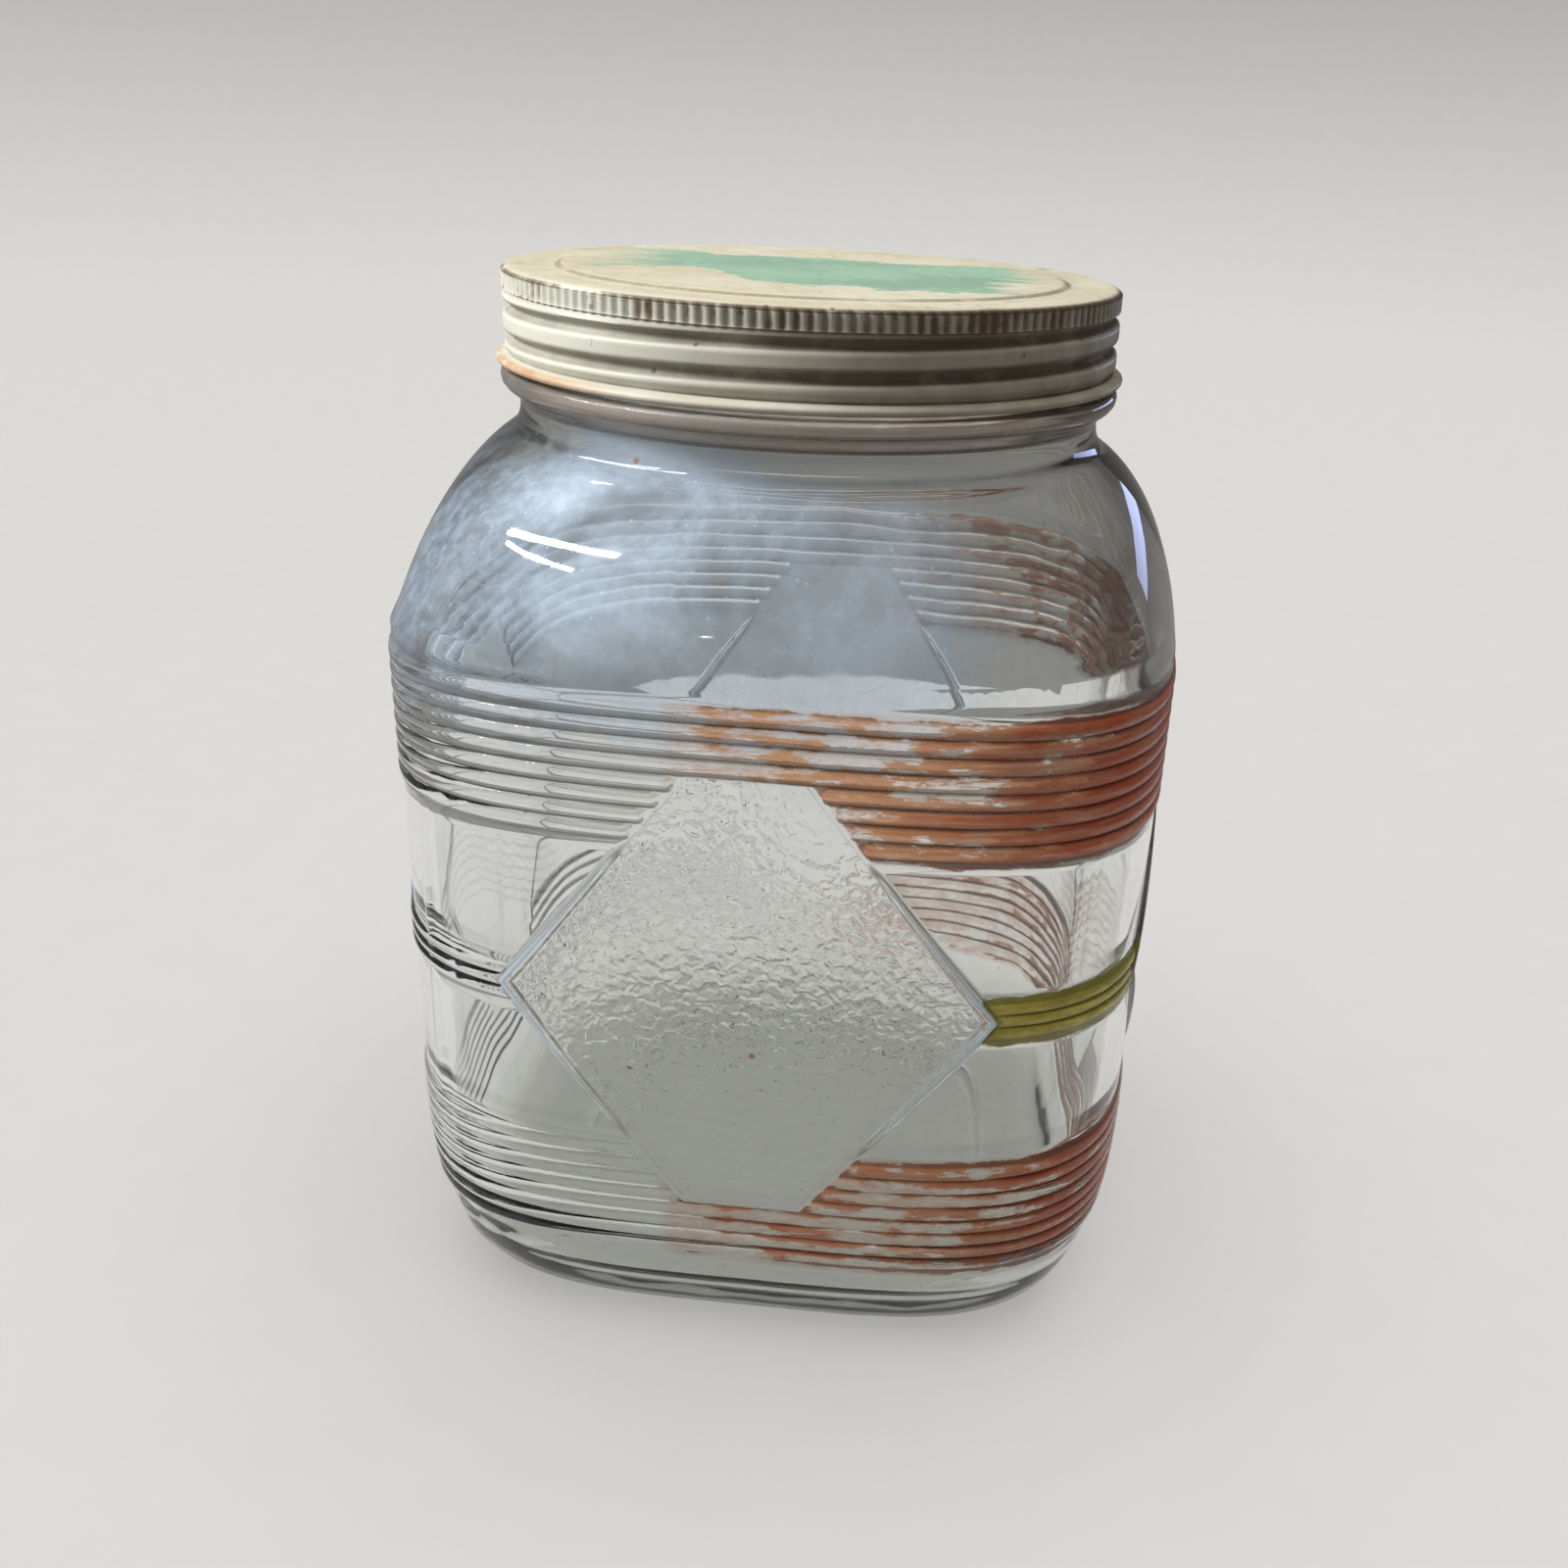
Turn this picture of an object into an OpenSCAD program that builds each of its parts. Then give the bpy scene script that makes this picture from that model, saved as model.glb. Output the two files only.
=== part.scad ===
// Square-shouldered glass storage jar with a wide threaded mouth and a one-piece stamped metal screw lid.
// +Z is up. The origin is the middle of the base, on the surface the jar stands on.

/* [Glass body] */
// Overall width and depth over the rib crests
body_w = 143; // [138:1:148]
// Squareness of the plan: 2 is a circle, larger is squarer
body_square = 3.9; // [3.4:0.1:4.4]
// Height at which the straight sides end and the shoulder begins
shoulder_start_z = 133; // [131:0.5:134]
// Height at which the shoulder meets the neck
shoulder_top_z = 163.6; // [163.4:0.1:163.8]
// Wall thickness at the sides
wall = 3.8; // [3.2:0.2:4.6]
// Thickness of the glass floor at its edge
floor_t = 7; // [5:0.5:9]
// Height of the hollow under the base
push_up = 1.5; // [0.8:0.1:2.5]

/* [Ribs and panel] */
// Height of a rib above the plain glass
rib_h = 0.6; // [0.3:0.05:0.8]
// Distance from one rib to the next
rib_pitch = 3.05; // [2.9:0.05:3.1]
// Number of ribs in the upper and in the lower band
band_ribs = 8; // [6:1:8]
// Number of ribs in each band that run past the panel uncut
full_ribs = 4; // [2:1:4]
// Height of the bottom edge of the lower band
lower_band_z = 20.6; // [20:0.1:22]
// Height of the top edge of the upper band
upper_band_z = 130; // [128:0.5:130]
// Distance from one middle rib to the next
mid_pitch = 2.4; // [2:0.1:2.8]
// Half width of the panel at its side points
panel_side = 43.3; // [40:0.5:46]
// Half width of the panel at its cut-off top and bottom
panel_tip = 10.4; // [8:0.5:12]

/* [Neck and thread] */
// Height of the rim of the glass mouth
rim_z = 187.4; // [187:0.1:187.5]
// Bore radius of the mouth
mouth_r = 49; // [48:0.5:49.4]
// Radius of the neck waist under the bead
waist_r = 53.5; // [53:0.1:54]
// Radius of the bead under the lid
bead_r = 56.8; // [56:0.1:57.2]
// Radius of the glass behind the thread
finish_r = 53.3; // [53:0.1:53.4]
// Radius over the glass thread
thread_r = 54.6; // [54.4:0.05:54.7]
// Distance the lid rises in one turn
lead = 5.08; // [5:0.02:5.2]
// Turns of thread on the glass
thread_turns = 1.15; // [0.9:0.05:1.25]

/* [Lid] */
// Outer radius of the lid over its knurls and beads
lid_r = 56; // [55.9:0.05:56.3]
// Height of the top of the lid above the base
lid_top_z = 190; // [190:0.1:190.4]
// Height of the lid's lower edge above the base
lid_hem_z = 173.5; // [173.2:0.1:174]
// Radius over the rolled hem
hem_r = 57.5; // [57:0.1:57.8]
// Thickness of the sheet metal
sheet = 0.4; // [0.35:0.05:0.45]
// Height of the raised centre of the top
centre_rise = 0.5; // [0.3:0.1:0.8]
// Radius of the raised centre
centre_r = 46; // [42:0.5:48]
// Number of knurls round the upper edge
knurls = 162; // [140:2:170]
// Depth of a knurl
knurl_d = 0.5; // [0.3:0.05:0.55]
// Depth of the rolled screw groove
groove_d = 1.5; // [1.2:0.05:1.5]

/* [Liner] */
// Radius of the liner disc
liner_r = 54.4; // [53:0.1:54.6]
// Thickness of the pulp board
board_t = 1.05; // [0.8:0.05:1.05]
// Thickness of the coated paper facing
facing_t = 0.25; // [0.2:0.01:0.25]

/* [Hidden] */

half_w = body_w / 2;
plain_w = half_w - rib_h;              // half width of the glass between the ribs
ring_n = 64;                           // points round one ring of the body
band_h = band_ribs * rib_pitch;
cut_ribs = band_ribs - full_ribs;
panel_top_z = upper_band_z - full_ribs * rib_pitch;
panel_bottom_z = lower_band_z + full_ribs * rib_pitch;
panel_mid_z = (panel_top_z + panel_bottom_z) / 2;
upper_band_foot_z = upper_band_z - band_h;
mid_ribs = 3;
mid_foot_z = panel_mid_z - mid_ribs * mid_pitch / 2;
inner_square = body_square - 0.1;

heel_h = 45;                           // height over which the heel curves in
heel_w = 54;                           // half width of the standing ring
heel_power = 2.6;
stand_in_w = 47;                       // half width where the hollow under the base begins
dome_w = 40;                           // half width of the flat middle of that hollow
shoulder_w = 50;                       // half width the shoulder curve aims at
shoulder_power = 1.68;
neck_overlap_z = 161.5;                // foot of the turned neck, buried in the shoulder
loft_top_z = 163;                      // top of the lofted body, buried in the turned neck
throat_r = mouth_r + 0.5;              // inside radius of the lofted body where it meets the neck

// Half width of the smooth outer body at height z
function heel_curve(z) = pow(1 - pow(1 - z / heel_h, heel_power), 1 / heel_power);
function shoulder_t(z) = (z - shoulder_start_z) / (shoulder_top_z - shoulder_start_z);
function shoulder_curve(z) = pow(1 - pow(shoulder_t(z), shoulder_power), 1 / shoulder_power);
function outer_w(z) =
    z < heel_h ? heel_w + (plain_w - heel_w) * heel_curve(z)
    : z > shoulder_start_z ? shoulder_w + (plain_w - shoulder_w) * shoulder_curve(z)
    : plain_w;

// Squareness of the plan at height z: it turns to a circle over the shoulder
function plan_power(z, square) =
    z > shoulder_start_z ? square + (2 - square) * pow(min(1, shoulder_t(z)), 0.53) : square;

// Distance from the axis to a rounded-square plan of half width w, in the direction a
function plan_r(w, p, a) = w / pow(pow(abs(cos(a)), p) + pow(abs(sin(a)), p), 1 / p);

// Half width of the panel at height z, below zero above and below it
function panel_w(z) =
    z > panel_top_z || z < panel_bottom_z ? -1
    : panel_side - (panel_side - panel_tip) * abs(z - panel_mid_z) / (panel_top_z - panel_mid_z);

// How far along its face a point in direction a lies from the face's middle
function along_face(w, a) = w * min(abs(cos(a)), abs(sin(a))) / max(abs(cos(a)), abs(sin(a)));

// One level of the body: height, and the height of the rib above the plain glass there
function rib_levels(foot_z, count, pitch) = [
    for (i = [0 : count - 1]) for (k = [0, 0.5]) [foot_z + pitch * (i + k), k == 0 ? 0 : rib_h],
    [foot_z + pitch * count, 0]
];

outer_levels = concat(
    [for (z = [0, 0.8, 2.5, 6, 11, 16]) [z, 0]],
    rib_levels(lower_band_z, band_ribs, rib_pitch),
    rib_levels(mid_foot_z, mid_ribs, mid_pitch),
    rib_levels(upper_band_foot_z, band_ribs, rib_pitch),
    [for (z = [shoulder_start_z : 4 : 157]) [z, 0]],
    [for (z = [159.5, 161.4]) [z, 0]]
);

function ring(z, w, p) = [for (i = [0 : ring_n - 1]) let (a = 360 * i / ring_n)
    [plan_r(w, p, a) * cos(a), plan_r(w, p, a) * sin(a), z]];

function ribbed_ring(level) = [for (i = [0 : ring_n - 1])
    let (a = 360 * i / ring_n, z = level[0], w = outer_w(z))
    let (lift = along_face(w, a) > panel_w(z) ? level[1] : 0)
    let (r = plan_r(w + lift, plan_power(z, body_square), a))
    [r * cos(a), r * sin(a), z]];

// Inside of the body, from the throat down to the floor
inner_rings = concat(
    [ring(loft_top_z, throat_r, 2), ring(160.6, throat_r, 2)],
    [for (z = [157, 152, 146, 139, shoulder_start_z])
        ring(z - 1.6, outer_w(z) - wall, plan_power(z, inner_square))],
    [for (z = [panel_mid_z, lower_band_z]) ring(z, outer_w(z) - wall, inner_square)],
    [for (d = [[4, 5.2], [1.2, 10.5], [0, 17]]) ring(floor_t + d[0], plain_w - d[1], inner_square)],
    [ring(floor_t + push_up * 0.7, heel_w - 30, 3)]
);

body_rings = concat(
    [ring(push_up, dome_w, body_square), ring(0, stand_in_w, body_square)],
    [for (level = outer_levels) ribbed_ring(level)],
    [ring(loft_top_z, outer_w(loft_top_z), 2)],
    inner_rings
);

// A closed skin over rings of equal count, with a flat cap at each end
module skin(rings, n) {
    last = len(rings) - 1;
    faces = concat(
        [[for (i = [0 : n - 1]) i]],
        [for (r = [0 : last - 1], i = [0 : n - 1]) [r * n + i, (r + 1) * n + i, (r + 1) * n + (i + 1) % n]],
        [for (r = [0 : last - 1], i = [0 : n - 1]) [r * n + i, (r + 1) * n + (i + 1) % n, r * n + (i + 1) % n]],
        [[for (i = [n - 1 : -1 : 0]) last * n + i]]
    );
    polyhedron(points = [for (r = rings) for (p = r) p], faces = faces);
}

// Turned neck, bead and finish
module neck() {
    rotate_extrude($fn = 128) polygon([
        [mouth_r, neck_overlap_z], [waist_r + 1.9, neck_overlap_z], [waist_r + 1.9, 162],
        [waist_r + 0.7, 163.6], [waist_r, 165.5], [waist_r, 167.3],
        [bead_r, 169.8], [bead_r, 172], [bead_r - 0.6, 172.6],
        [finish_r, 172.6], [finish_r, rim_z - 0.8], [finish_r - 0.8, rim_z],
        [mouth_r + 0.8, rim_z], [mouth_r, rim_z - 0.8]
    ]);
}

// Height of the middle of the lid's screw groove in direction a, which turns on past 360
groove_left_z = 182.6;
function groove_z(a) = groove_left_z + lead * (a - 180) / 360;

// Glass thread: a ridge just above the lid's groove, tapering into the neck at both ends
thread_gap = 1.7;
thread_top_a = 290;
thread_step = 6;
thread_steps = round(thread_turns * 360 / thread_step);
thread_points = [for (i = [0 : thread_steps])
    let (a = thread_top_a - i * thread_step)
    let (grow = min(1, min(i, thread_steps - i) / 4))
    let (r = finish_r - 0.35 + (thread_r - finish_r + 0.35) * grow)
    let (z = groove_z(a) + thread_gap, root = finish_r - 0.7)
    for (q = [[root, -1.55], [r, -0.45], [r, 0.45], [root, 1.55]]) [q[0] * cos(a), q[0] * sin(a), z + q[1]]];

module glass_thread() {
    sides = 4;
    faces = concat(
        [[0, 1, 2], [0, 2, 3]],
        [for (i = [0 : thread_steps - 1], k = [0 : sides - 1])
            [i * sides + k, (i + 1) * sides + k, (i + 1) * sides + (k + 1) % sides]],
        [for (i = [0 : thread_steps - 1], k = [0 : sides - 1])
            [i * sides + k, (i + 1) * sides + (k + 1) % sides, i * sides + (k + 1) % sides]],
        [let (e = thread_steps * sides) [e, e + 2, e + 1], let (e = thread_steps * sides) [e, e + 3, e + 2]]
    );
    polyhedron(points = thread_points, faces = faces);
}

module glass_jar() {
    color([0.80, 0.86, 0.83, 0.45]) union() {
        skin(body_rings, ring_n);
        neck();
        glass_thread();
    }
}

// Screw wall of the lid: a thin wall with one rolled groove running round it
wall_top_z = 185.6;
wall_foot_z = 175.3;
wall_levels = 15;
wall_n = 72;
end_r = lid_r - 0.65;                  // radius of the wall where it joins the knurled band and the hem
groove_half = 1.5;
fade = 1.3;                            // height over which the groove and bead fade out at each end
lid_band_z = 185.2;                    // foot of the knurled band
lid_shoulder_z = 188.4;                // top of the knurled band

function end_fade(z) = min(1, max(0, min(z - wall_foot_z, wall_top_z - z) / fade));
function groove_dist(z, a) = let (d = (z - groove_z(a)) / lead) lead * abs(d - round(d));
function groove_shape(d) = d < groove_half ? pow(cos(90 * d / groove_half), 2) : 0;
function wall_r(z, a) =
    end_r + (lid_r - end_r - groove_d * groove_shape(groove_dist(z, a))) * end_fade(z);

function wall_ring(z, inset) = [for (i = [0 : wall_n - 1])
    let (a = 360 * i / wall_n, r = wall_r(z, a) - inset) [r * cos(a), r * sin(a), z]];

wall_outer = [for (k = [0 : wall_levels]) wall_ring(wall_foot_z + (wall_top_z - wall_foot_z) * k / wall_levels, 0)];
wall_inner = [for (k = [wall_levels : -1 : 0])
    wall_ring(wall_foot_z + (wall_top_z - wall_foot_z) * k / wall_levels, sheet)];

module screw_wall() {
    rings = concat(wall_outer, wall_inner);
    count = len(rings);
    faces = concat(
        [for (r = [0 : count - 1], i = [0 : wall_n - 1])
            [r * wall_n + i, ((r + 1) % count) * wall_n + (i + 1) % wall_n, ((r + 1) % count) * wall_n + i]],
        [for (r = [0 : count - 1], i = [0 : wall_n - 1])
            [r * wall_n + i, r * wall_n + (i + 1) % wall_n, ((r + 1) % count) * wall_n + (i + 1) % wall_n]]
    );
    polyhedron(points = [for (r = rings) for (p = r) p], faces = [for (f = faces) [f[0], f[2], f[1]]]);
}

// Top of the lid: raised centre, sealing channel and rounded shoulder
module lid_top() {
    rim_top_z = lid_top_z - centre_rise;
    rotate_extrude($fn = 128) polygon([
        [0, lid_top_z - sheet], [centre_r - 1, lid_top_z - sheet], [centre_r, rim_top_z - sheet],
        [lid_r - 1.5, rim_top_z - sheet], [lid_r - 0.95, rim_top_z - sheet - 0.5], [lid_r - 0.95, lid_shoulder_z - 0.6],
        [lid_r - 0.6, lid_shoulder_z - 0.6], [lid_r - 0.6, lid_shoulder_z], [lid_r, lid_shoulder_z],
        [lid_r - 0.12, lid_shoulder_z + 0.6], [lid_r - 0.45, rim_top_z - 0.15], [lid_r - 1.1, rim_top_z],
        [centre_r + 0.3, rim_top_z], [centre_r - 0.7, lid_top_z], [0, lid_top_z]
    ]);
}

module knurled_band() {
    translate([0, 0, lid_band_z]) linear_extrude(lid_shoulder_z - lid_band_z + 0.2) difference() {
        polygon([for (i = [0 : knurls - 1]) for (k = [0, 0.5])
            let (a = 360 * (i + k) / knurls, r = k == 0 ? lid_r - 0.05 : lid_r - knurl_d - 0.05)
            [r * cos(a), r * sin(a)]]);
        circle(r = lid_r - 0.8, $fn = 128);
    }
}

// Rolled hem at the lid's lower edge
module hem() {
    rotate_extrude($fn = 128) polygon([
        [lid_r - 0.85, lid_hem_z + 0.3], [lid_r - 0.55, lid_hem_z], [hem_r - 0.7, lid_hem_z],
        [hem_r - 0.2, lid_hem_z + 0.25], [hem_r, lid_hem_z + 0.75], [hem_r - 0.2, lid_hem_z + 1.2],
        [hem_r - 0.7, lid_hem_z + 1.5], [lid_r - 0.3, lid_hem_z + 2.4], [lid_r - 0.85, lid_hem_z + 2.4]
    ]);
}

module lid_shell() {
    color([0.86, 0.83, 0.72]) union() {
        lid_top();
        knurled_band();
        screw_wall();
        hem();
    }
}

// Liner: pulp board under the lid's top, with a coated paper facing that seals on the rim
stack_gap = 0.15;
facing_z = rim_z + stack_gap;

module liner_board() {
    color([0.72, 0.64, 0.50]) translate([0, 0, facing_z + facing_t])
        cylinder(r = liner_r, h = board_t, $fn = 128);
}

module liner_facing() {
    color([0.93, 0.91, 0.86]) translate([0, 0, facing_z])
        cylinder(r = liner_r, h = facing_t, $fn = 128);
}

glass_jar();
lid_shell();
liner_board();
liner_facing();
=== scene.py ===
import math
import bpy
import numpy as np
from mathutils import Matrix, Vector


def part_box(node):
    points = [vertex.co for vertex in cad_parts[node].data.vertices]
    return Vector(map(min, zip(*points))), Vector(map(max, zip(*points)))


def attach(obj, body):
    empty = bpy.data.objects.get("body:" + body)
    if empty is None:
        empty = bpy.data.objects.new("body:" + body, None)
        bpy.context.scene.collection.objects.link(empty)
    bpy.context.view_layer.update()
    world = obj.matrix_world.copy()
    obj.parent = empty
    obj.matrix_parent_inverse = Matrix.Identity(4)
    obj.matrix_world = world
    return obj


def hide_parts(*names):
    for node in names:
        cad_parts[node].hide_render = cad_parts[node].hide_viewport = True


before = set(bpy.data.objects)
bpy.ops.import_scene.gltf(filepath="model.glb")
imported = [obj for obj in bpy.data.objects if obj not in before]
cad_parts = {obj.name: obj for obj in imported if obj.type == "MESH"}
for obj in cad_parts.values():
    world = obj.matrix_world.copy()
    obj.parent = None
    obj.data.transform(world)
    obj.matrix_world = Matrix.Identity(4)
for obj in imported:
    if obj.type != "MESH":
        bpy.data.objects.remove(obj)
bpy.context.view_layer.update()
mm = 0.001

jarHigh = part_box("glass_jar")[1]
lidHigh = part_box("lid_shell")[1]
boardLow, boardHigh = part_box("liner_board")
facingLow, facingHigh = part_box("liner_facing")
print("frame loaded")


# small tools for the meshes

def clearSelection():
    if bpy.context.object and bpy.context.object.mode != 'OBJECT':
        bpy.ops.object.mode_set(mode='OBJECT')
    bpy.ops.object.select_all(action='DESELECT')


def makeActive(obj):
    clearSelection()
    obj.select_set(True)
    bpy.context.view_layer.objects.active = obj


def ease(low, high, values):
    t = np.clip((values - low) / (high - low), 0, 1)
    return t * t * (3 - 2 * t)


def rollSheet(name, x, y, z, paints=None):
    # a flat sheet of faces, rolled up so that its rows and columns stand where the tables say,
    # in millimetres; the tables in paints are kept on the mesh for its material
    rows, columns = x.shape
    clearSelection()
    bpy.ops.mesh.primitive_grid_add(x_subdivisions=columns, y_subdivisions=rows - 1, size=1)
    piece = bpy.context.object
    piece.name = name
    close = lambda table: np.concatenate([table, table[:, :1]], 1).ravel()    # first column again at the seam
    points = np.stack([close(x), close(y), close(z)], 1) * mm
    piece.data.vertices.foreach_set("co", points.ravel())
    for layerName, tables in (paints or {}).items():
        layer = piece.data.attributes.new(layerName, 'FLOAT_COLOR', 'POINT')
        layer.data.foreach_set("color", np.stack([close(t) for t in tables], 1).ravel())
    piece.data.update()
    return piece


def closeAndSmooth(obj, sharpAngle):
    # merges the seam and the poles, turns the faces outwards and smooths all but the sharp edges
    makeActive(obj)
    bpy.ops.object.mode_set(mode='EDIT')
    bpy.ops.mesh.select_all(action='SELECT')
    bpy.ops.mesh.remove_doubles(threshold=1e-6)
    bpy.ops.mesh.normals_make_consistent(inside=False)
    bpy.ops.object.mode_set(mode='OBJECT')
    bpy.ops.object.shade_smooth_by_angle(angle=math.radians(sharpAngle))


# camera

view = {
    "place": (0.0388, -0.3155, 0.2176),
    "pan": 4.44,
    "down": 26.02,
    "roll": 2.76,
    "lens": 37.54,
    "shift": (-0.05, 0.075),
}


def makeCamera():
    data = bpy.data.cameras.new("camera")
    data.lens = view["lens"]
    data.sensor_width = 36
    data.shift_x, data.shift_y = view["shift"]
    data.clip_start = 0.01
    cam = bpy.data.objects.new("camera", data)
    bpy.context.collection.objects.link(cam)
    turned = (Matrix.Rotation(math.radians(view["pan"]), 4, 'Z')
              @ Matrix.Rotation(math.radians(90 - view["down"]), 4, 'X')
              @ Matrix.Rotation(math.radians(view["roll"]), 4, 'Z'))
    cam.matrix_world = Matrix.Translation(view["place"]) @ turned
    bpy.context.scene.camera = cam


makeCamera()
print("camera placed")


# tools for the materials

class Wires:
    # short names for the nodes that the materials are wired from
    def __init__(self, name):
        self.material = bpy.data.materials.new(name)
        self.material.use_nodes = True
        self.tree = self.material.node_tree
        self.nodes = self.tree.nodes
        self.nodes.clear()
        self.place = self.nodes.new("ShaderNodeTexCoord").outputs["Object"]

    def put(self, socket, value):
        if isinstance(value, bpy.types.NodeSocket):
            self.tree.links.new(value, socket)
        else:
            socket.default_value = value

    def math(self, operation, a, b=0.0, c=0.0):
        node = self.nodes.new("ShaderNodeMath")
        node.operation = operation
        for socket, value in zip(node.inputs, (a, b, c)):
            self.put(socket, value)
        return node.outputs[0]

    def times(self, *factors):
        # all of them multiplied
        product = factors[0]
        for factor in factors[1:]:
            product = self.math('MULTIPLY', product, factor)
        return product

    def most(self, *values):
        # the largest of them
        largest = values[0]
        for value in values[1:]:
            largest = self.math('MAXIMUM', largest, value)
        return largest

    def mapped(self, stretch, shift):
        node = self.nodes.new("ShaderNodeMapping")
        node.inputs["Scale"].default_value = stretch
        node.inputs["Location"].default_value = shift
        self.put(node.inputs["Vector"], self.place)
        return node.outputs[0]

    def noise(self, scale, detail=4, stretch=(1, 1, 1), twist=0.0, rough=0.55, shift=(0, 0, 0)):
        node = self.nodes.new("ShaderNodeTexNoise")
        self.put(node.inputs["Vector"], self.mapped(stretch, shift))
        node.inputs["Scale"].default_value = scale
        node.inputs["Detail"].default_value = detail
        node.inputs["Roughness"].default_value = rough
        node.inputs["Distortion"].default_value = twist
        return node.outputs["Fac"]

    def cells(self, scale, stretch=(1, 1, 1), shift=(0, 0, 0)):
        node = self.nodes.new("ShaderNodeTexVoronoi")
        self.put(node.inputs["Vector"], self.mapped(stretch, shift))
        node.inputs["Scale"].default_value = scale
        return node.outputs["Distance"]

    def ramp(self, value, low, high, outLow=0.0, outHigh=1.0):
        # goes smoothly from outLow at low to outHigh at high
        node = self.nodes.new("ShaderNodeMapRange")
        node.interpolation_type = 'SMOOTHSTEP'
        for socket, number in zip(node.inputs, (value, low, high, outLow, outHigh)):
            self.put(socket, number)
        return node.outputs[0]

    def blend(self, share, a, b):
        # colour a, with a share of colour b over it
        node = self.nodes.new("ShaderNodeMix")
        node.data_type = 'RGBA'
        for socket, value in ((node.inputs[0], share), (node.inputs[6], a), (node.inputs[7], b)):
            self.put(socket, (*value, 1) if isinstance(value, tuple) and len(value) == 3 else value)
        return node.outputs[2]

    def layer(self, name):
        node = self.nodes.new("ShaderNodeAttribute")
        node.attribute_name = name
        split = self.nodes.new("ShaderNodeSeparateColor")
        self.tree.links.new(node.outputs["Color"], split.inputs[0])
        return split.outputs

    def alpha(self, name):
        node = self.nodes.new("ShaderNodeAttribute")
        node.attribute_name = name
        return node.outputs["Alpha"]

    def near(self, point, far, close):
        # 1 within close of a point, fading to 0 at far
        node = self.nodes.new("ShaderNodeVectorMath")
        node.operation = 'DISTANCE'
        self.put(node.inputs[0], self.place)
        node.inputs[1].default_value = point
        return self.ramp(node.outputs["Value"], far, close)

    def axes(self):
        split = self.nodes.new("ShaderNodeSeparateXYZ")
        self.put(split.inputs[0], self.place)
        return split.outputs

    def bump(self, height, distance, strength=1.0, below=None):
        node = self.nodes.new("ShaderNodeBump")
        self.put(node.inputs["Height"], height)
        node.inputs["Distance"].default_value = distance
        self.put(node.inputs["Strength"], strength)
        if below is not None:
            self.put(node.inputs["Normal"], below)
        return node.outputs[0]

    def surface(self, sockets):
        shader = self.nodes.new("ShaderNodeBsdfPrincipled")
        for name, value in sockets.items():
            self.put(shader.inputs[name], value)
        out = self.nodes.new("ShaderNodeOutputMaterial")
        self.tree.links.new(shader.outputs[0], out.inputs["Surface"])
        return self.material


# glass jar

jar = {
    "ribHeight": 0.6,
    "ribPitch": 3.05,
    "bandRibs": 8,
    "fullRibs": 4,
    "lowerBandFoot": 20.6,
    "upperBandTop": 130.0,
    "middleRibs": 3,
    "middlePitch": 2.4,
    "panelSide": 43.3,
    "panelTip": 10.4,
    "cutGap": 0.9,                     # from the panel's edge to the ribs that end at it
    "cutRound": 1.3,                   # rounding of their ends
    "edgeIn": 2.6,                     # closer columns from here inside the panel's edge
    "edgeOut": 3.4,                    # to here outside it
    "square": 3.9,                     # power of the plan: 2 is a circle
    "squareFade": 0.53,
    "heelHeight": 45.0,
    "heelWidth": 54.0,
    "heelPower": 2.6,
    "shoulderStart": 133.0,
    "shoulderTop": 163.6,
    "shoulderAim": 50.0,
    "shoulderPower": 1.68,
    "pushUp": 1.5,
    "wall": 3.8,
    "floor": 7.0,
    "insideCorner": (11, 8),           # across and up, where the floor turns into the wall
    "mouth": 49.0,
    "waist": 53.5,
    "bead": 56.8,
    "finish": 53.3,                    # plain glass of the neck under the lid
    "thread": 54.6,
    "threadGap": 1.7,                  # from the lid's groove up to the thread that it hooks under
    "threadHalf": 1.35,                # half height at its foot and at its crest
    "threadCrest": 0.35,
    "threadTurns": 1.15,
    "threadTopAngle": 290.0,
    "threadTaper": 24,
    "ridgeHeight": 0.95,
    "ridgeGap": 1.2,                   # between a bar's end and the rib band
    "ridgeHalf": 0.70,                 # half width of a bar at its ends
    "ridgeGrow": 0.55,                 # and how much more at the side points
    "seamHeight": 0.3,
    "seamCorners": (45, 225),
}
# height and distance out from the waist's radius, then from the bead's
waistCurve = [(161.9, 1.7), (162.7, 1.0), (163.9, 0.4), (165.3, 0.08), (166.7, 0.0), (167.7, 0.35),
              (168.5, 1.3)]
beadCurve = [(169.3, -0.9), (170.2, -0.2), (171.2, 0.0), (172.0, -0.15), (172.45, -0.6), (172.6, -1.3)]
# the lid's groove and the jar's thread wind up together: rise in one turn, and the groove's height
# on the left of the lid
screw = {"lead": 5.08, "grooveLeft": 182.6}

halfWidth = jarHigh.x / mm
plainWidth = halfWidth - jar["ribHeight"]
rimTop = jarHigh.z / mm
bandHeight = jar["bandRibs"] * jar["ribPitch"]
lowerBandTop = jar["lowerBandFoot"] + bandHeight
upperBandFoot = jar["upperBandTop"] - bandHeight
panelTop = jar["upperBandTop"] - jar["fullRibs"] * jar["ribPitch"]
panelBottom = jar["lowerBandFoot"] + jar["fullRibs"] * jar["ribPitch"]
panelMiddle = (panelTop + panelBottom) / 2
middleFoot = panelMiddle - jar["middleRibs"] * jar["middlePitch"] / 2
middleTop = panelMiddle + jar["middleRibs"] * jar["middlePitch"] / 2


def shoulderShare(z):
    return np.clip((z - jar["shoulderStart"]) / (jar["shoulderTop"] - jar["shoulderStart"]), 0, 1)


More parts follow.
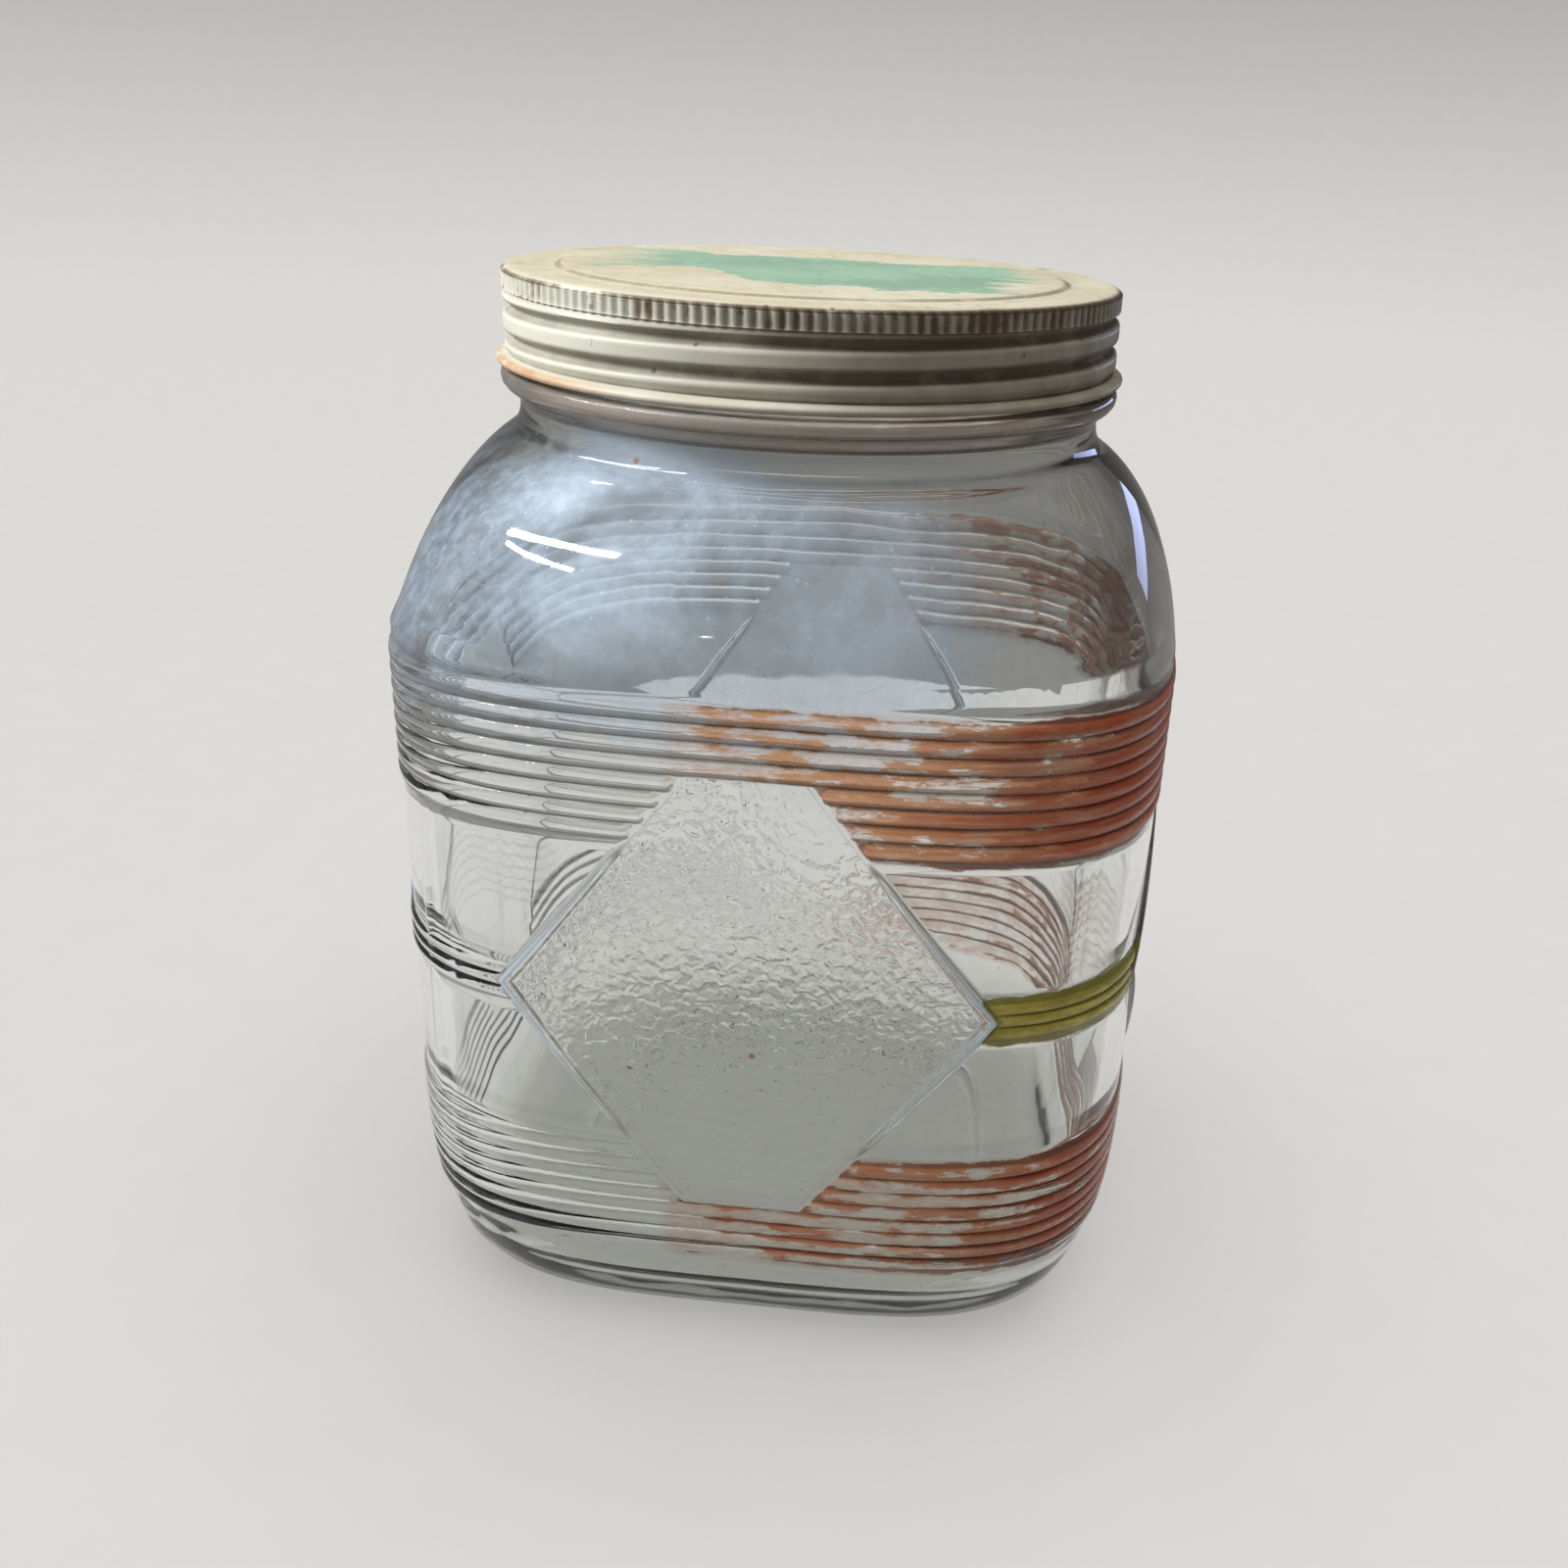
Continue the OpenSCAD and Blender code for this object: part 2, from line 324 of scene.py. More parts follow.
def outerWidth(z):
    # half width of the plain glass at a height
    power = jar["heelPower"]
    low = 1 - np.clip(1 - z / jar["heelHeight"], 0, 1) ** power
    heel = jar["heelWidth"] + (plainWidth - jar["heelWidth"]) * low ** (1 / power)
    power = jar["shoulderPower"]
    high = 1 - shoulderShare(z) ** power
    shoulder = jar["shoulderAim"] + (plainWidth - jar["shoulderAim"]) * high ** (1 / power)
    return np.where(z < jar["heelHeight"], heel, np.where(z > jar["shoulderStart"], shoulder, plainWidth))


def planPower(z):
    # squareness of the plan at a height, down to a circle at the neck
    return jar["square"] + (2 - jar["square"]) * shoulderShare(z) ** jar["squareFade"]


def panelHalf(z):
    # half width of the panel at a height, held at its tip above and below it
    t = np.clip(np.abs(z - panelMiddle) / (panelTop - panelMiddle), 0, 1)
    return jar["panelSide"] + (jar["panelTip"] - jar["panelSide"]) * t


def ribRows(foot, count, pitch):
    # levels over a band of ribs, closer together near the valleys
    steps = np.array([0, 0.07, 0.22, 0.5, 0.78, 0.93])
    return np.concatenate([foot + pitch * (i + steps) for i in range(count)] + [[foot + pitch * count]])


def jarRows():
    # every level of the glass, from the middle of the base up the outside, over the rim, down the
    # inside and across the floor: its height, half width, plan power and whether it is on the outside
    rows = []

    def add(heights, widths, powers, outside):
        for row in np.broadcast(heights, widths, powers, outside):
            rows.append(tuple(float(v) for v in row))

    square, pushUp = jar["square"], jar["pushUp"]
    # hollow under the base, rest ring and heel
    add([pushUp] * 4, [0.0, 14.0, 28.0, 40.0], square, 1)
    add([pushUp * 0.8, pushUp * 0.35, 0.08, 0.0], [43.5, 45.8, 47.2, 49.0], square, 1)
    heel = jar["lowerBandFoot"] * np.linspace(0, 1, 14)[:-1] ** 2
    add(heel, outerWidth(heel), square, 1)
    # bands of ribs, with plain glass between them
    lower = ribRows(jar["lowerBandFoot"], jar["bandRibs"], jar["ribPitch"])
    add(lower, outerWidth(lower), square, 1)
    plain = np.linspace(lowerBandTop, middleFoot, 12)[1:-1]
    add(plain, outerWidth(plain), square, 1)
    middle = ribRows(middleFoot, jar["middleRibs"], jar["middlePitch"])
    add(middle, outerWidth(middle), square, 1)
    plain = np.linspace(middleTop, upperBandFoot, 12)[1:-1]
    add(plain, outerWidth(plain), square, 1)
    upper = ribRows(upperBandFoot, jar["bandRibs"], jar["ribPitch"])
    add(upper, outerWidth(upper), square, 1)
    # shoulder, waist, bead, the neck under the lid and the rim
    shoulder = np.concatenate([[131.5], jar["shoulderStart"] + 28.2 * np.linspace(0, 1, 18) ** 0.85])
    add(shoulder, outerWidth(shoulder), planPower(shoulder), 1)
    for curve, radius in ((waistCurve, jar["waist"]), (beadCurve, jar["bead"])):
        heights, offsets = zip(*curve)
        add(heights, radius + np.array(offsets), 2, 1)
    finish, mouth = jar["finish"], jar["mouth"]
    add([172.65, 173.0], [finish + 0.5, finish], 2, 1)
    add(np.linspace(173.5, rimTop - 0.9, 31), finish, 2, 1)
    add([rimTop - 0.45, rimTop - 0.1, rimTop, rimTop - 0.1, rimTop - 0.5, rimTop - 1.2],
        [finish - 0.15, finish - 0.7, (finish + mouth) / 2, mouth + 0.9, mouth + 0.2, mouth], 2, 1)
    # down the inside: mouth, shoulder, wall, rounded corner and floor
    add([179, 172, 166, 162.5, 161.2], [mouth, mouth, mouth, mouth + 0.1, mouth + 0.7], 2, 0)
    inside = np.linspace(160.2, jar["shoulderStart"], 12)
    add(inside - 1.6, outerWidth(inside) - jar["wall"], planPower(inside), 0)
    lowWall = np.array([110, 80, 50, 36, 26, 18])
    add(lowWall, outerWidth(lowWall) - jar["wall"], square - 0.1, 0)
    inner = outerWidth(np.array(16.0)) - jar["wall"] - 0.6
    turn = np.radians(np.linspace(0, 90, 8))
    wide, high = jar["insideCorner"]
    add(jar["floor"] + 0.3 + high * (1 - np.sin(turn)), inner - wide + wide * np.cos(turn), square - 0.3, 0)
    add([jar["floor"] + 0.6, jar["floor"] + 1.0, jar["floor"] + 1.1], [36, 18, 0], square - 0.9, 0)
    return np.array(rows).T


insideColumns = 12                     # from a face's middle to just inside the panel's edge
edgeColumns = 14                       # close together over the panel's edge
cornerColumns = 19                     # from there to the corner


def acrossFace(z):
    # where the columns of half a face stand at each level, as a distance from the middle of the face
    edge = panelHalf(z)[:, None]
    low, high = edge - jar["edgeIn"], edge + jar["edgeOut"]
    corner = plainWidth * 2 ** (-1 / jar["square"])
    return np.concatenate([
        low * np.linspace(0, 1, insideColumns, endpoint=False)[None, :],
        low + (high - low) * np.linspace(0, 1, edgeColumns, endpoint=False)[None, :],
        high + (corner - high) * np.linspace(0, 1, cornerColumns + 1)[None, :],
    ], 1)


def faceAngles(across):
    # direction, from the axis, of a point so far from the middle of its face
    deep = plainWidth * (1 - np.clip(across / plainWidth, 0, 1) ** jar["square"]) ** (1 / jar["square"])
    return np.arctan2(across, deep)


def ribShape(phase):
    # one rib, from valley to valley, with a full crest
    return np.clip(1 - np.abs(2 * phase - 1) ** 2.3, 0, 1) ** 0.75


def bandLift(z, across, foot):
    # one band of ribs from 0 to 1; those beside the panel end in rounded steps along its edge
    count, pitch = jar["bandRibs"], jar["ribPitch"]
    rib = np.clip(np.floor((z - foot) / pitch + 1e-6), 0, count - 1)
    phase = np.clip((z - foot) / pitch - rib, 0, 1)
    centre = foot + (rib + 0.5) * pitch
    beside = (centre < panelTop) & (centre > panelBottom)
    rounding = 1 - np.sqrt(np.clip(1 - (2 * phase - 1) ** 2, 0, 1))
    start = panelHalf(centre) + jar["cutGap"] + jar["cutRound"] * rounding
    mask = np.where(beside, ease(0, 1.1, across - start + 0.5), 1.0)
    within = (z >= foot - 1e-6) & (z <= foot + count * pitch + 1e-6)
    return ribShape(phase) * mask * within


def middleLift(z, across):
    # the short ribs round the corners between the panels' side points, from 0 to 1
    phase = (z - middleFoot) / jar["middlePitch"] % 1
    mask = ease(0.6, 1.8, across - panelHalf(z))
    within = (z >= middleFoot - 1e-6) & (z <= middleTop + 1e-6)
    return ribShape(phase) * mask * within


def ridgeLift(z, across):
    # the sharp bars along the panel's edges, widening from the rib bands to the panel's side points
    away = np.abs(z - panelMiddle)
    reach = upperBandFoot - jar["ridgeGap"] - panelMiddle
    along = np.clip((reach - away) / (upperBandFoot - jar["ridgeGap"] - middleTop), 0, 1)
    slope = (jar["panelSide"] - jar["panelTip"]) / (panelTop - panelMiddle)
    off = np.abs(across - panelHalf(z)) / math.sqrt(1 + slope ** 2)
    rise = np.clip(1.15 - 1.15 * off / (jar["ridgeHalf"] + jar["ridgeGrow"] * along), 0, 1)
    return rise * jar["ridgeHeight"] * ease(0, 0.12, along) * (0.55 + 0.45 * along) * (away < reach)


def grooveHeight(angle):
    return screw["grooveLeft"] + screw["lead"] * (angle - 180) / 360


def threadLift(z, angle):
    # the screw ridge winding down the neck from its top end, tapering away at both ends
    lift = np.zeros_like(angle)
    for turn in range(-2, 2):
        turned = angle + 360 * turn
        down = jar["threadTopAngle"] - turned
        grow = ease(0, jar["threadTaper"], down)
        grow = grow * ease(0, jar["threadTaper"], jar["threadTurns"] * 360 - down)
        off = np.abs(z - grooveHeight(turned) - jar["threadGap"])
        lift = np.maximum(lift, grow * ease(jar["threadHalf"], jar["threadCrest"], off))
    return lift * (jar["thread"] - jar["finish"])


# where colour was brushed on the ribs: direction round the jar in degrees from its right side, seen from
# above against the clock, and the share of the glass that is still covered there
redRound = [(0, 0.85), (25, 0.75), (45, 0.62), (70, 0.5), (90, 0.35), (110, 0.2), (125, 0.0), (256, 0.0),
            (260, 0.36), (268, 0.50), (284, 0.62), (300, 0.70), (309, 0.74), (317, 0.92), (360, 0.85)]
lowRedRound = [(0, 0.85), (45, 0.7), (80, 0.45), (105, 0.1), (125, 0.0), (255, 0.0), (261, 0.58),
               (276, 0.70), (292, 0.72), (312, 0.9), (360, 0.85)]
greenRound = [(0, 0.95), (40, 0.95), (60, 0.6), (80, 0.0), (298, 0.0), (303, 1.0), (360, 0.95)]
# how thick the colour still is there
thickRound = [(0, 0.9), (40, 0.7), (90, 0.4), (125, 0.3), (256, 0.2), (272, 0.32), (290, 0.5), (304, 0.72),
              (316, 0.95), (360, 0.9)]
lowThickRound = [(0, 0.85), (90, 0.4), (125, 0.3), (256, 0.8), (280, 0.6), (296, 0.55), (315, 0.85),
                 (360, 0.85)]


def roundShare(angle, table):
    places, shares = zip(*table)
    return np.interp(np.degrees(angle) % 360, places, shares)


def makeJar():
    z, width, power, outside = jarRows()
    shown = (outside > 0.5)[:, None]
    besidePanel = (np.abs(z - panelMiddle) < panelTop - panelMiddle)[:, None] & shown
    # the columns follow the panel's edge beside it, and stay as at its tips on all other levels
    across = np.where(besidePanel, acrossFace(z), acrossFace(np.full_like(z, panelTop + 1)))
    half = faceAngles(across)
    quarter = np.concatenate([half[:, :-1], math.pi / 2 - half[:, :0:-1]], 1)
    angle = np.concatenate([quarter + k * math.pi / 2 for k in range(4)], 1)
    allRound = lambda table: np.tile(np.concatenate([table[:, :-1], table[:, :0:-1]], 1), (1, 4))

    # first on half a face, then mirrored and repeated all round
    tall = z[:, None] * np.ones_like(across)
    ribs = middleLift(tall, across)
    for foot in (upperBandFoot, jar["lowerBandFoot"]):
        ribs = np.maximum(ribs, bandLift(tall, across, foot))
    ridges = ridgeLift(tall, across)
    inPanel = ease(0.2, 1.0, panelHalf(tall) - across)
    inPanel = inPanel * (np.abs(tall - panelMiddle) < panelTop - panelMiddle)
    offPanel = ease(-0.2, 0.8, across - panelHalf(tall)) * besidePanel + (1 - besidePanel)
    ribs, ridges, inPanel, offPanel = (allRound(t) * shown for t in (ribs, ridges, inPanel, offPanel))
    lift = np.maximum(ribs * jar["ribHeight"], ridges)
    tall = z[:, None] * np.ones_like(angle)
    degrees = np.degrees(angle) % 360
    neck = (tall > 173.2) & (tall < rimTop - 0.3) & shown      # where the thread stands
    lift = lift + threadLift(tall, degrees) * neck
    body = (tall > 2) & (tall < 168) & shown                   # how far up the seams go
    for corner in jar["seamCorners"]:      # faint mould seams up two opposite corners
        off = np.abs((degrees - corner + 180) % 360 - 180)
        lift = lift + jar["seamHeight"] * ease(1.1, 0, off) * body * (lift < 0.05)
    wide = width[:, None] + lift
    p = power[:, None]
    reach = wide / (np.abs(np.cos(angle)) ** p + np.abs(np.sin(angle)) ** p) ** (1 / p)

    # where the colours go, for the glass's material
    upperBand = (tall > upperBandFoot - 0.4) & (tall < jar["upperBandTop"] + 0.4)
    lowerBand = (tall > jar["lowerBandFoot"] - 0.4) & (tall < lowerBandTop + 0.4)
    middleBand = (tall > middleFoot - 0.1) & (tall < middleTop + 0.1)
    red = (roundShare(angle, redRound) * upperBand + roundShare(angle, lowRedRound) * lowerBand) * offPanel
    green = roundShare(angle, greenRound) * middleBand * offPanel
    thick = np.where(tall > panelMiddle, roundShare(angle, thickRound), roundShare(angle, lowThickRound))
    one = np.ones_like(angle)
    piece = rollSheet("jar_body", reach * np.cos(angle), reach * np.sin(angle), tall, {
        "paint": [red, green, thick, shown * one],
        "form": [ribs, inPanel, np.clip(ridges / jar["ridgeHeight"], 0, 1), one],
    })
    closeAndSmooth(piece, 60)
    return piece


jarPiece = makeJar()
print("jar", len(jarPiece.data.vertices), "points")


glassLook = {
    "glass": (0.935, 0.945, 0.935),
    "thickGlass": (0.78, 0.81, 0.74),
    "brick": (0.50, 0.078, 0.020),
    "orange": (0.70, 0.27, 0.09),
    "faded": (0.56, 0.25, 0.15),
    # near black, for painted shade: dark lines in the ribs' valleys and at the feet of the panel's bars
    "valleyShade": (0.075, 0.045, 0.035),
    "leaf": (0.60, 0.50, 0.05),
    "leafDark": (0.20, 0.18, 0.03),
    # bluish: the tint of the dust film, with painted sheen of cool light in it
    "dustAndSheen": (0.64, 0.76, 0.90),
    "amber": (0.42, 0.17, 0.03),
    # pinkish cream on the neck's bead: residue, and a painted reflection of the lid's hem
    "residueAndReflection": (0.60, 0.50, 0.43),
    "milkyLeft": (-0.022, -0.056, 0.151),      # middle of the thickest dust
    "milkyFront": (0.014, -0.062, 0.141),      # and of the next
}


def paintedGlass():
    w = Wires("painted_pressed_glass")
    look = glassLook
    red, green, thick = w.layer("paint")[0:3]
    outer = w.alpha("paint")
    rib, panel, ridge = w.layer("form")[0:3]
    x, y, z = w.axes()[0:3]

    # brushed colour: thin and see-through at its start, thick at the corner, worn away in streaks
    streak = w.noise(38, 6, stretch=(1, 1, 7), twist=0.3, rough=0.64)
    blot = w.noise(150, 5, stretch=(1, 1, 2.6), rough=0.62, shift=(3, 1, 2))
    wear = w.math('ADD', w.times(streak, 0.6), w.times(blot, 0.4))
    lowBand = w.ramp(z, 0.060, 0.050)
    worn = w.times(rib, w.math('MULTIPLY_ADD', lowBand, 0.13, 0.02))
    need = w.math('ADD', w.math('MULTIPLY_ADD', red, -0.48, 0.76), worn)
    spare = w.math('SUBTRACT', wear, need)
    redCover = w.times(w.ramp(spare, -0.030, 0.022), w.ramp(red, 0.02, 0.08))
    body = w.times(w.ramp(thick, 0.2, 0.95, 0.28, 0.85), w.ramp(spare, 0.0, 0.14, 0.7, 1.06))
    redPaint = w.times(redCover, body)
    # a thin stain beyond the thick colour, left where most of it has come off
    stain = w.times(w.ramp(red, 0.16, 0.50), w.ramp(blot, 0.35, 0.6, 0.22, 0.62))
    greenSpare = w.math('SUBTRACT', wear, w.math('MULTIPLY_ADD', green, -0.5, 0.74))
    greenCover = w.times(w.ramp(greenSpare, -0.03, 0.03), w.ramp(green, 0.1, 0.4))
    greenPaint = w.times(greenCover, w.ramp(blot, 0.3, 0.6, 0.6, 0.85))
    paint = w.most(redPaint, greenPaint)

    # a dry, milky film of dust, thickest over the front of the shoulder on its left; its bluish tint is
    # partly painted sheen
    cloud = w.noise(30, 5, twist=0.7, rough=0.6, shift=(1, 4, 2))
    fleck = w.noise(330, 4, rough=0.7)
    shoulder = w.ramp(z, 0.112, 0.140)
    leftward = w.ramp(x, 0.050, -0.012, 0.15, 1.0)
    forward = w.ramp(y, 0.03, -0.03, 0.35, 1.0)
    place = w.times(leftward, forward, shoulder, w.ramp(z, 0.166, 0.158))
    milky = w.most(w.near(look["milkyLeft"], 0.034, 0.004),
                   w.times(w.near(look["milkyFront"], 0.032, 0.004), 0.6))
    milky = w.times(milky, w.ramp(cloud, 0.25, 0.6, 0.25, 1.0))
    film = w.times(w.ramp(cloud, 0.30, 0.66), w.ramp(fleck, 0.25, 0.70, 0.4, 1.0))
    speck = w.ramp(w.cells(240), 0.10, 0.05)
    hazeAndHighlight = w.math('MULTIPLY_ADD', w.times(film, place), 0.30, w.ramp(fleck, 0.4, 0.7, 0.005, 0.035))
    hazeAndHighlight = w.math('MULTIPLY_ADD', milky, 0.52, hazeAndHighlight)
    # a painted highlight: a light line along the crests of the bars, laid on as dust
    hazeAndHighlight = w.math('MULTIPLY_ADD', w.ramp(ridge, 0.50, 0.90), 0.42, hazeAndHighlight)    # on the crests of the bars
    hazeAndHighlight = w.times(w.math('ADD', hazeAndHighlight, w.times(speck, 0.16)), outer)
    amber = w.times(w.ramp(w.cells(40, shift=(0.4, 0.1, 0.7)), 0.036, 0.022), outer)
    # pale residue left at the lid's hem on the neck's bead, a little in its waist and on the thread; on the
    # bead it is partly a painted reflection of the hem
    neck = w.times(w.ramp(z, 0.1660, 0.1695, 0.12, 1.0), w.ramp(cloud, 0.30, 0.62, 0.16, 0.38),
                   w.ramp(z, 0.1755, 0.1732, 0.10, 1.0), w.ramp(z, 0.1615, 0.1640), outer)

    # painted shade in the corners at both feet of the panel's bars, in patches
    foot = w.times(w.ramp(ridge, 0.02, 0.16), w.ramp(ridge, 0.46, 0.26), w.ramp(blot, 0.30, 0.60, 0.25, 0.60))
    paint = w.most(paint, foot, w.times(stain, 0.34))
    cover = w.most(w.most(w.times(amber, 0.8), neck), w.most(paint, hazeAndHighlight))
    clear = w.math('SUBTRACT', 1.0, cover)

    # the colour of each, the darker and thicker ones over the others
    full = w.ramp(w.math('MULTIPLY_ADD', thick, 0.5, wear), 0.66, 0.98)
    redTone = w.blend(full, look["orange"], look["brick"])
    faded = w.ramp(w.noise(70, 6, stretch=(1, 1, 12), rough=0.7, shift=(6, 2, 4)), 0.46, 0.60, 0.0, 0.65)
    redTone = w.blend(faded, redTone, look["faded"])
    # painted shade: dark lines in the valleys between the ribs, over the colour
    valleyShade = w.ramp(rib, 0.66, 0.12, 0.0, 0.72)
    redTone = w.blend(valleyShade, redTone, look["valleyShade"])
    leafTone = w.blend(w.ramp(blot, 0.35, 0.62, 0.0, 0.5), look["leaf"], look["leafDark"])
    leafTone = w.blend(valleyShade, leafTone, look["leafDark"])
    glass = w.blend(w.ramp(z, 0.024, 0.004), look["glass"], look["thickGlass"])
    # the haze turns the glass bluish: dust, with painted sheen
    tint = w.blend(w.ramp(hazeAndHighlight, 0.0, 0.2), glass, look["dustAndSheen"])
    tint = w.blend(w.ramp(neck, 0.0, 0.3), tint, look["residueAndReflection"])
    tint = w.blend(stain, tint, look["orange"])
    tint = w.blend(redCover, tint, redTone)
    tint = w.blend(greenCover, tint, leafTone)
    tint = w.blend(foot, tint, look["valleyShade"])
    tint = w.blend(amber, tint, look["amber"])
    rough = w.most(w.times(paint, 0.42), w.math('MULTIPLY_ADD', hazeAndHighlight, 0.10, 0.010))

    # stipple on the front panel, slow waves in the pressed glass and the raised edges of the colour
    ripple = w.noise(520, 1, rough=0.5, twist=0.5)
    frontPanel = w.times(panel, w.ramp(y, -0.058, -0.062))
    stipple = w.bump(w.times(ripple, frontPanel), 0.00040)
    waves = w.bump(w.noise(30, 2, stretch=(1, 1, 0.6)), 0.0012, w.ramp(z, 0.128, 0.140, 0.5, 0.2), stipple)
    edge = w.bump(w.times(paint, w.math('ADD', wear, 0.5)), 0.0001, 1.0, waves)
    return w.surface({"Base Color": tint, "Roughness": rough, "Transmission Weight": clear,
                      "IOR": 1.5, "Normal": edge})


jarPiece.data.materials.clear()
jarPiece.data.materials.append(paintedGlass())
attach(jarPiece, "jar")
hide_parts("glass_jar")
print("jar finished")


# screw lid

lid = {
    "radius": 56.0,
    "hemRadius": 57.5,
    "hemFoot": 173.5,
    "wallFoot": 175.3,
    "wallTop": 185.9,
    "inset": 0.65,                     # of the screw wall, from the knurls
    "grooveDepth": 1.5,
    "grooveHalf": 1.5,
    "fade": 1.3,                       # height over which the wall leaves its ends
    "knurls": 162,
    "knurlDepth": 0.5,
    "knurlFoot": 185.8,
    "knurlTop": 188.75,
    "centreRise": 0.5,
    "centreRadius": 46.0,
    "sheet": 0.35,
}
lidTop = lidHigh.z / mm
# height over the hem's foot and distance out from its radius
hemCurve = [(1.5, -0.95), (1.38, -0.5), (1.1, -0.14), (0.75, 0.0), (0.38, -0.12), (0.1, -0.42), (0.0, -0.8),
            (0.12, -1.2), (0.42, -1.38)]


def lidRows():
    # the outside of the lid from the middle of its top to its hem: height, radius,
    # share of the knurls and share of the screw groove at each level
    top, rise, ring, edge = lidTop, lid["centreRise"], lid["centreRadius"], lid["radius"]
    rim = top - rise
    rows = [(top, r, 0, 0) for r in (0, 6, 14, 24, 34, 41, ring - 1.4)]
    # the step down from the raised centre, and the outer ring
    rows += [(top - 0.06, ring - 0.8, 0, 0), (top - rise * 0.35, ring - 0.25, 0, 0),
             (rim + 0.12, ring + 0.25, 0, 0), (rim, ring + 0.8, 0, 0),
             (rim, 49.5, 0, 0), (rim, 52.5, 0, 0), (rim, edge - 1.7, 0, 0)]
    # the rounded edge, where the knurls begin
    rows += [(rim - 0.06, edge - 1.15, 0, 0), (rim - 0.2, edge - 0.7, 0.12, 0),
             (rim - 0.45, edge - 0.35, 0.4, 0), (rim - 0.75, edge - 0.12, 0.8, 0)]
    # the knurled band and the screw wall under it
    high, low = lid["knurlTop"], lid["knurlFoot"]
    rows += [(high + 0.12, edge - 0.06, 0.95, 0), (high - 0.1, edge - 0.05, 1, 0)]
    rows += [(z, edge - 0.05, 1, 0) for z in np.linspace(high - 0.4, low + 0.4, 5)]
    rows += [(low + 0.15, edge - 0.05, 0.6, 0), (low, edge - 0.1, 0, 1)]
    rows += [(z, edge, 0, 1) for z in np.linspace(low - 0.3, lid["wallFoot"], 27)]
    # the rolled hem
    foot = lid["hemFoot"]
    rows += [(foot + 1.65, edge - 0.1, 0, 0)]
    rows += [(foot + up, lid["hemRadius"] + out, 0, 0) for up, out in hemCurve]
    return np.array(rows).T


def wallRadius(z, angle):
    # the screw wall: one groove rolled in, winding round it
    fade = np.clip(np.minimum(z - lid["wallFoot"], lid["wallTop"] - z) / lid["fade"], 0, 1)
    off = (z - grooveHeight(angle)) / screw["lead"]
    off = np.abs(off - np.rint(off)) * screw["lead"]
    groove = np.where(off < lid["grooveHalf"], np.cos(math.pi / 2 * off / lid["grooveHalf"]) ** 2, 0)
    return lid["radius"] - lid["inset"] + (lid["inset"] - lid["grooveDepth"] * groove) * fade


def makeLid():
    z, radius, knurl, groove = (row[:, None] for row in lidRows())
    profile = np.array([0.0, 0.5, 1.0, 0.5])    # one knurl, over four columns
    columns = lid["knurls"] * len(profile)
    turn = np.arange(columns)[None, :]
    degrees = turn * 360 / columns
    tall = z + np.zeros_like(degrees)
    flute = profile[turn % len(profile)]
    reach = radius - knurl * lid["knurlDepth"] * flute
    reach = np.where(groove > 0, wallRadius(tall, degrees + np.zeros_like(tall)), reach)
    angle = np.radians(degrees)
    one = np.ones_like(tall)
    dent = np.clip((lid["radius"] - reach) / lid["grooveDepth"], 0, 1) * (groove > 0)
    piece = rollSheet("lid_cap", reach * np.cos(angle), reach * np.sin(angle), tall, {
        "form": [knurl * flute * one, groove * one, dent, one],
    })
    closeAndSmooth(piece, 60)
    skin = piece.modifiers.new("sheet", 'SOLIDIFY')
    skin.thickness = lid["sheet"] * mm
    skin.offset = -1
    makeActive(piece)
    bpy.ops.object.modifier_apply(modifier=skin.name)
    bpy.ops.object.shade_smooth_by_angle(angle=math.radians(60))
    return piece


lidPiece = makeLid()
print("lid", len(lidPiece.data.vertices), "points")

lidLook = {
    "cream": (0.65, 0.60, 0.465),
    "yellowed": (0.54, 0.475, 0.33),
    "skirt": (0.66, 0.65, 0.56),
    "rust": (0.11, 0.062, 0.028),
    "rustBright": (0.50, 0.26, 0.11),
    # dark brown for grime and for painted shade
    "grimeAndShade": (0.115, 0.090, 0.056),
    "mint": (0.30, 0.47, 0.345),
    "mintDark": (0.24, 0.376, 0.276),
}


